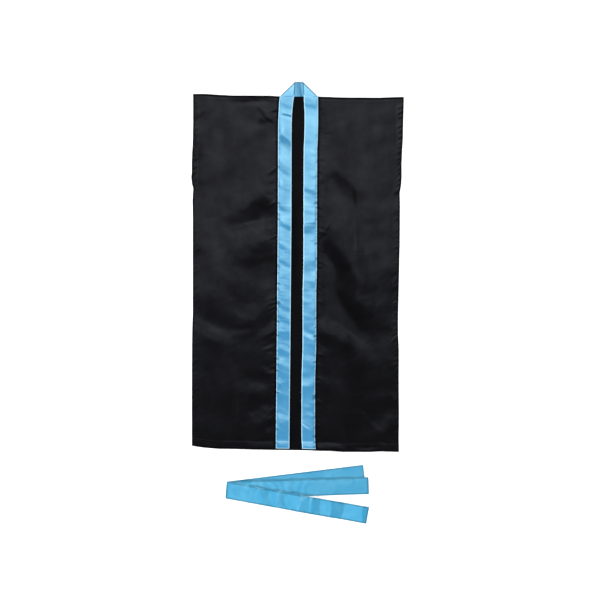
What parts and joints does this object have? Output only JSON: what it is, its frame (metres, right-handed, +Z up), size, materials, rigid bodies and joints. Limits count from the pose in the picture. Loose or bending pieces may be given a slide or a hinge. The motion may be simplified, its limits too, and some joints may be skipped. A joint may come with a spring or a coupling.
{
  "type": "happi coat with belt",
  "caption": "Sleeveless open-front happi coat in black satin with a pale blue collar band, laid flat, and its blue satin belt folded below the hem.",
  "frame": {"origin": "on the surface that the coat lies on, under the middle of the box round the coat and its belt", "axes": "+Y runs from the hem to the collar, +X across to the viewer's right with the front facing up, and +Z up from the surface"},
  "size_m": [0.663, 1.3769, 0.009],
  "materials": {
    "black_satin": "satin",
    "blue_satin": "satin"
  },
  "bodies": {
    "root": {"back_panel": "black_satin", "front_panel_left": "black_satin", "front_panel_right": "black_satin", "collar_left": "blue_satin", "collar_right": "blue_satin", "collar_neck": "blue_satin", "sash": "blue_satin"}
  },
  "joints": []
}
